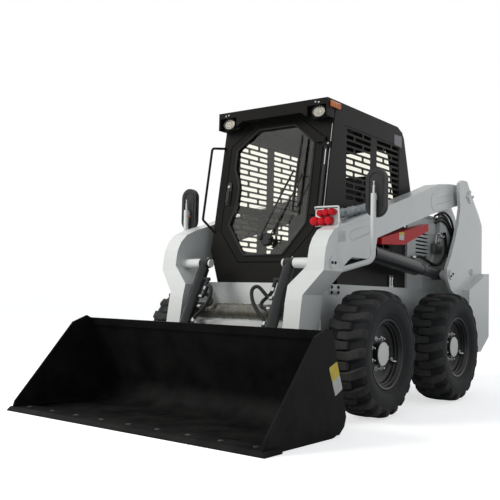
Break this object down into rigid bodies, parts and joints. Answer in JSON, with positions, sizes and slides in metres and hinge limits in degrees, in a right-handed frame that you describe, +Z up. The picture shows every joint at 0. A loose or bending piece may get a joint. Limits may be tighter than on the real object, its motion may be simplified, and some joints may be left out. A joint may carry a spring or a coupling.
{
  "type": "skid steer loader",
  "caption": "Compact wheeled loader with an enclosed cab, side lift arms, hydraulic cylinders and a wide front bucket; cab door, hood and rear door open.",
  "frame": {"origin": "on the ground, midway between the bucket cutting edge and the rear end, on the centre line", "axes": "+Z up, the machine faces -Y, +X to the operator's left"},
  "size_m": [1.984, 3.63, 2.112],
  "materials": {
    "white_paint": "gloss",
    "axle_paint": "satin",
    "cab_paint": "satin",
    "engine_iron": "rough",
    "cab_glass": "clear",
    "seat_cover": "matt",
    "black_plastic": "matt",
    "lamp_lens": "gloss",
    "amber_lens": "gloss",
    "red_paint": "gloss",
    "bucket_paint": "satin",
    "rim_paint": "satin",
    "tyre_rubber": "matt",
    "cylinder_black": "gloss",
    "rod_chrome": "polished",
    "hose_rubber": "matt"
  },
  "bodies": {
    "chassis": {"chassis_tub": "white_paint", "tower_left": "white_paint", "tower_right": "white_paint", "engine_bay": "white_paint", "engine_block": "engine_iron", "axle_housings": "axle_paint", "cab_shell": "cab_paint", "cab_roof": "cab_paint", "side_guards": "cab_paint", "rear_window": "cab_glass", "seat": "seat_cover", "control_levers": "black_plastic", "grab_rail": "cab_paint", "work_lamps": "lamp_lens", "amber_lamps": "amber_lens", "hinges": "cab_paint"},
    "cab_door": {"cab_door": "cab_paint", "cab_door_glass": "cab_glass"},
    "rear_door": {"rear_door": "white_paint"},
    "engine_hood": {"engine_hood": "white_paint"},
    "boom": {"boom_arm_left": "white_paint", "boom_arm_right": "white_paint", "boom_cross_beam": "white_paint", "tilt_pin_bosses": "white_paint", "mirror_pipes": "white_paint", "mirrors": "black_plastic", "coupler_bracket": "red_paint", "lift_arm_lock": "red_paint"},
    "bucket": {"bucket": "bucket_paint", "quick_attach": "bucket_paint"},
    "lift_barrel_left": {"lift_barrel_left": "cylinder_black"},
    "lift_rod_left": {"lift_rod_left": "cylinder_black"},
    "tilt_barrel_left": {"tilt_barrel_left": "cylinder_black", "tilt_hose_short_left": "hose_rubber", "tilt_hose_long_left": "hose_rubber"},
    "tilt_rod_left": {"tilt_rod_left": "rod_chrome"},
    "lift_barrel_right": {"lift_barrel_right": "cylinder_black"},
    "lift_rod_right": {"lift_rod_right": "cylinder_black"},
    "tilt_barrel_right": {"tilt_barrel_right": "cylinder_black", "tilt_hose_short_right": "hose_rubber", "tilt_hose_long_right": "hose_rubber"},
    "tilt_rod_right": {"tilt_rod_right": "rod_chrome"},
    "wheel_front_left": {"rim_front_left": "rim_paint", "tyre_front_left": "tyre_rubber"},
    "wheel_front_right": {"rim_front_right": "rim_paint", "tyre_front_right": "tyre_rubber"},
    "wheel_rear_left": {"rim_rear_left": "rim_paint", "tyre_rear_left": "tyre_rubber"},
    "wheel_rear_right": {"rim_rear_right": "rim_paint", "tyre_rear_right": "tyre_rubber"}
  },
  "joints": [
    {"name": "boom_lift", "type": "hinge", "parent": "chassis", "child": "boom", "pos_m": [0, 1.5, 1.643], "axis": [-1, 0, 0], "range_deg": [0, 62]},
    {"name": "bucket_tilt", "type": "hinge", "parent": "boom", "child": "bucket", "pos_m": [0, -0.9, 0.185], "axis": [1, 0, 0], "range_deg": [-20, 85]},
    {"name": "cab_door_hinge", "type": "hinge", "parent": "chassis", "child": "cab_door", "pos_m": [0.412, -0.43382, 1.37327], "axis": [0, 0.1618, 0.9868], "range_deg": [0, 85]},
    {"name": "rear_door_hinge", "type": "hinge", "parent": "chassis", "child": "rear_door", "pos_m": [0.448, 1.806, 1], "axis": [0, 0, -1], "range_deg": [0, 100]},
    {"name": "engine_hood_hinge", "type": "hinge", "parent": "chassis", "child": "engine_hood", "pos_m": [0, 0.97, 1.478], "axis": [1, 0, 0], "range_deg": [0, 55]},
    {"name": "lift_barrel_left_swing", "type": "hinge", "parent": "chassis", "child": "lift_barrel_left", "pos_m": [0.61, 1.107, 0.968], "axis": [-1, 0, 0], "range_deg": [0, 59.6]},
    {"name": "lift_rod_left_slide", "type": "slide", "parent": "lift_barrel_left", "child": "lift_rod_left", "axis": [0, -0.9954, 0.0958], "range_m": [0, 0.802]},
    {"name": "tilt_barrel_left_swing", "type": "hinge", "parent": "boom", "child": "tilt_barrel_left", "pos_m": [0.355, -0.662, 0.98], "axis": [-1, 0, 0], "range_deg": [-1.6, 6.6]},
    {"name": "tilt_rod_left_slide", "type": "slide", "parent": "tilt_barrel_left", "child": "tilt_rod_left", "axis": [0, -0.4385, -0.8987], "range_m": [-0.068, 0.288]},
    {"name": "lift_barrel_right_swing", "type": "hinge", "parent": "chassis", "child": "lift_barrel_right", "pos_m": [-0.61, 1.107, 0.968], "axis": [-1, 0, 0], "range_deg": [0, 59.6]},
    {"name": "lift_rod_right_slide", "type": "slide", "parent": "lift_barrel_right", "child": "lift_rod_right", "axis": [0, -0.9954, 0.0958], "range_m": [0, 0.802]},
    {"name": "tilt_barrel_right_swing", "type": "hinge", "parent": "boom", "child": "tilt_barrel_right", "pos_m": [-0.355, -0.662, 0.98], "axis": [-1, 0, 0], "range_deg": [-1.6, 6.6]},
    {"name": "tilt_rod_right_slide", "type": "slide", "parent": "tilt_barrel_right", "child": "tilt_rod_right", "axis": [0, -0.4385, -0.8987], "range_m": [-0.068, 0.288]},
    {"name": "wheel_front_left_spin", "type": "hinge", "parent": "chassis", "child": "wheel_front_left", "pos_m": [0.755, -0.285, 0.41], "axis": [1, 0, 0], "continuous": true},
    {"name": "wheel_front_right_spin", "type": "hinge", "parent": "chassis", "child": "wheel_front_right", "pos_m": [-0.755, -0.285, 0.41], "axis": [1, 0, 0], "continuous": true},
    {"name": "wheel_rear_left_spin", "type": "hinge", "parent": "chassis", "child": "wheel_rear_left", "pos_m": [0.755, 0.908, 0.41], "axis": [1, 0, 0], "continuous": true},
    {"name": "wheel_rear_right_spin", "type": "hinge", "parent": "chassis", "child": "wheel_rear_right", "pos_m": [-0.755, 0.908, 0.41], "axis": [1, 0, 0], "continuous": true}
  ],
  "couplings": [
    {"joint": "lift_barrel_left_swing", "follows": "boom_lift", "ratio": 0.9603},
    {"joint": "lift_rod_left_slide", "follows": "boom_lift", "m_per_rad": 0.7408},
    {"joint": "tilt_barrel_left_swing", "follows": "bucket_tilt", "ratio": 0.0768},
    {"joint": "tilt_rod_left_slide", "follows": "bucket_tilt", "m_per_rad": 0.1939},
    {"joint": "lift_barrel_right_swing", "follows": "boom_lift", "ratio": 0.9603},
    {"joint": "lift_rod_right_slide", "follows": "boom_lift", "m_per_rad": 0.7408},
    {"joint": "tilt_barrel_right_swing", "follows": "bucket_tilt", "ratio": 0.0768},
    {"joint": "tilt_rod_right_slide", "follows": "bucket_tilt", "m_per_rad": 0.1939}
  ]
}
